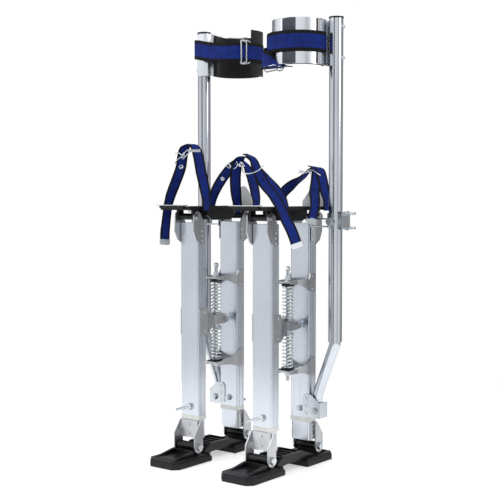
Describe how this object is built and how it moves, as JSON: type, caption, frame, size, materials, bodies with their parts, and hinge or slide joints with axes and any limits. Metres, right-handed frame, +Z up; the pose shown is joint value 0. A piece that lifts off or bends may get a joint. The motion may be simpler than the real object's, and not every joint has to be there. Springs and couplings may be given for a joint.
{
  "type": "drywall stilts",
  "caption": "Pair of height-adjustable work stilts: spring-balanced parallelogram struts under a strapped deck, with a leg tube and padded calf band.",
  "frame": {"origin": "floor level, under the middle of the pair's bounding box", "axes": "+Z up along the struts; -Y forward, towards the toes; +X to the wearer's left"},
  "size_m": [0.5074, 0.368, 1.045],
  "materials": {
    "cast_black": "satin",
    "sole_rubber": "matte",
    "zinc": "satin",
    "aluminium_tube": "satin",
    "leg_tube_alloy": "polished",
    "bracket_steel": "satin",
    "spring_steel": "bright",
    "band_sheet": "brushed",
    "nylon": "satin",
    "foam": "matte",
    "webbing": "woven",
    "black_plastic": "satin",
    "hook_tape": "matte"
  },
  "bodies": {
    "right_foot": {"right_floor_plate": "cast_black", "right_soles": "sole_rubber", "right_foot_pins": "zinc"},
    "right_front_lower": {"right_front_inner_tube": "aluminium_tube", "right_front_foot_bracket": "bracket_steel"},
    "right_front_upper": {"right_front_outer_tube": "aluminium_tube", "right_front_bushing": "nylon", "right_front_top_bracket": "bracket_steel", "right_spring_arm": "bracket_steel"},
    "right_front_lock": {"right_front_lock_bolt": "zinc"},
    "right_rear_lower": {"right_rear_inner_tube": "aluminium_tube", "right_rear_foot_bracket": "bracket_steel"},
    "right_rear_upper": {"right_rear_outer_tube": "aluminium_tube", "right_rear_bushing": "nylon", "right_rear_top_bracket": "bracket_steel", "right_spring_brackets": "bracket_steel", "right_spring_rod": "zinc", "right_upper_spring": "spring_steel", "right_lower_spring": "spring_steel", "right_lower_leg_tube": "leg_tube_alloy", "right_leg_tube_clamps": "zinc"},
    "right_rear_lock": {"right_rear_lock_bolt": "zinc"},
    "right_yoke": {"right_spring_yoke": "zinc"},
    "right_leg_tube": {"right_upper_leg_tube": "leg_tube_alloy", "right_calf_band": "band_sheet", "right_calf_pad": "foam", "right_calf_strap": "webbing"},
    "right_platform": {"right_deck": "cast_black", "right_heel_plate": "bracket_steel", "right_straps": "webbing"},
    "left_foot": {"left_floor_plate": "cast_black", "left_soles": "sole_rubber", "left_foot_pins": "zinc"},
    "left_front_lower": {"left_front_inner_tube": "aluminium_tube", "left_front_foot_bracket": "bracket_steel"},
    "left_front_upper": {"left_front_outer_tube": "aluminium_tube", "left_front_bushing": "nylon", "left_front_top_bracket": "bracket_steel", "left_spring_arm": "bracket_steel"},
    "left_front_lock": {"left_front_lock_bolt": "zinc"},
    "left_rear_lower": {"left_rear_inner_tube": "aluminium_tube", "left_rear_foot_bracket": "bracket_steel"},
    "left_rear_upper": {"left_rear_outer_tube": "aluminium_tube", "left_rear_bushing": "nylon", "left_rear_top_bracket": "bracket_steel", "left_spring_brackets": "bracket_steel", "left_spring_rod": "zinc", "left_upper_spring": "spring_steel", "left_lower_spring": "spring_steel", "left_lower_leg_tube": "leg_tube_alloy", "left_leg_tube_clamps": "zinc"},
    "left_rear_lock": {"left_rear_lock_bolt": "zinc"},
    "left_yoke": {"left_spring_yoke": "zinc"},
    "left_leg_tube": {"left_upper_leg_tube": "leg_tube_alloy", "left_calf_band": "band_sheet", "left_calf_pad": "foam", "left_calf_strap": "webbing"},
    "left_platform": {"left_deck": "cast_black", "left_heel_plate": "bracket_steel", "left_straps": "webbing"}
  },
  "joints": [
    {"name": "right_swing", "type": "hinge", "parent": "right_foot", "child": "right_rear_lower", "pos_m": [-0.109, 0.102, 0.0365], "axis": [1, 0, 0], "range_deg": [-12, 15], "stiffness_Nm_per_rad": 260},
    {"name": "right_front_swing", "type": "hinge", "parent": "right_foot", "child": "right_front_lower", "pos_m": [-0.109, -0.086, 0.0365], "axis": [1, 0, 0], "range_deg": [-12.5, 15.5]},
    {"name": "right_height", "type": "slide", "parent": "right_rear_lower", "child": "right_rear_upper", "axis": [0, 0, 1], "range_m": [0, 0.406]},
    {"name": "right_front_height", "type": "slide", "parent": "right_front_lower", "child": "right_front_upper", "axis": [0, 0, 1], "range_m": [0, 0.407]},
    {"name": "right_deck_level", "type": "hinge", "parent": "right_rear_upper", "child": "right_platform", "pos_m": [-0.109, 0.102, 0.586], "axis": [1, 0, 0], "range_deg": [-15.5, 12.5]},
    {"name": "right_yoke_slide", "type": "slide", "parent": "right_rear_upper", "child": "right_yoke", "axis": [0, 0, 1], "range_m": [-0.041, 0.051], "deforming": ["right_upper_spring", "right_lower_spring"]},
    {"name": "right_calf_height", "type": "slide", "parent": "right_rear_upper", "child": "right_leg_tube", "axis": [0, 0, 1], "range_m": [0, 0.12]},
    {"name": "right_front_lock_turn", "type": "hinge", "parent": "right_front_upper", "child": "right_front_lock", "pos_m": [-0.109, -0.066, 0.13], "axis": [0, 1, 0], "range_deg": [0, 140]},
    {"name": "right_rear_lock_turn", "type": "hinge", "parent": "right_rear_upper", "child": "right_rear_lock", "pos_m": [-0.109, 0.082, 0.13], "axis": [0, -1, 0], "range_deg": [0, 140]},
    {"name": "left_swing", "type": "hinge", "parent": "left_foot", "child": "left_rear_lower", "pos_m": [0.109, 0.102, 0.0365], "axis": [1, 0, 0], "range_deg": [-12, 15], "stiffness_Nm_per_rad": 260},
    {"name": "left_front_swing", "type": "hinge", "parent": "left_foot", "child": "left_front_lower", "pos_m": [0.109, -0.086, 0.0365], "axis": [1, 0, 0], "range_deg": [-12.5, 15.5]},
    {"name": "left_height", "type": "slide", "parent": "left_rear_lower", "child": "left_rear_upper", "axis": [0, 0, 1], "range_m": [0, 0.406]},
    {"name": "left_front_height", "type": "slide", "parent": "left_front_lower", "child": "left_front_upper", "axis": [0, 0, 1], "range_m": [0, 0.407]},
    {"name": "left_deck_level", "type": "hinge", "parent": "left_rear_upper", "child": "left_platform", "pos_m": [0.109, 0.102, 0.586], "axis": [1, 0, 0], "range_deg": [-15.5, 12.5]},
    {"name": "left_yoke_slide", "type": "slide", "parent": "left_rear_upper", "child": "left_yoke", "axis": [0, 0, 1], "range_m": [-0.041, 0.051], "deforming": ["left_upper_spring", "left_lower_spring"]},
    {"name": "left_calf_height", "type": "slide", "parent": "left_rear_upper", "child": "left_leg_tube", "axis": [0, 0, 1], "range_m": [0, 0.12]},
    {"name": "left_front_lock_turn", "type": "hinge", "parent": "left_front_upper", "child": "left_front_lock", "pos_m": [0.109, -0.066, 0.13], "axis": [0, 1, 0], "range_deg": [0, 140]},
    {"name": "left_rear_lock_turn", "type": "hinge", "parent": "left_rear_upper", "child": "left_rear_lock", "pos_m": [0.109, 0.082, 0.13], "axis": [0, -1, 0], "range_deg": [0, 140]},
    {"name": "left_stilt_place", "type": "slide", "parent": "right_foot", "child": "left_foot", "axis": [1, 0, 0], "range_m": [0, 0.25]}
  ],
  "couplings": [
    {"joint": "right_front_swing", "follows": "right_swing", "ratio": 1},
    {"joint": "right_deck_level", "follows": "right_swing", "ratio": -1},
    {"joint": "right_yoke_slide", "follows": "right_swing", "m_per_rad": 0.188},
    {"joint": "right_front_height", "follows": "right_height", "ratio": 1},
    {"joint": "left_front_swing", "follows": "left_swing", "ratio": 1},
    {"joint": "left_deck_level", "follows": "left_swing", "ratio": -1},
    {"joint": "left_yoke_slide", "follows": "left_swing", "m_per_rad": 0.188},
    {"joint": "left_front_height", "follows": "left_height", "ratio": 1}
  ]
}
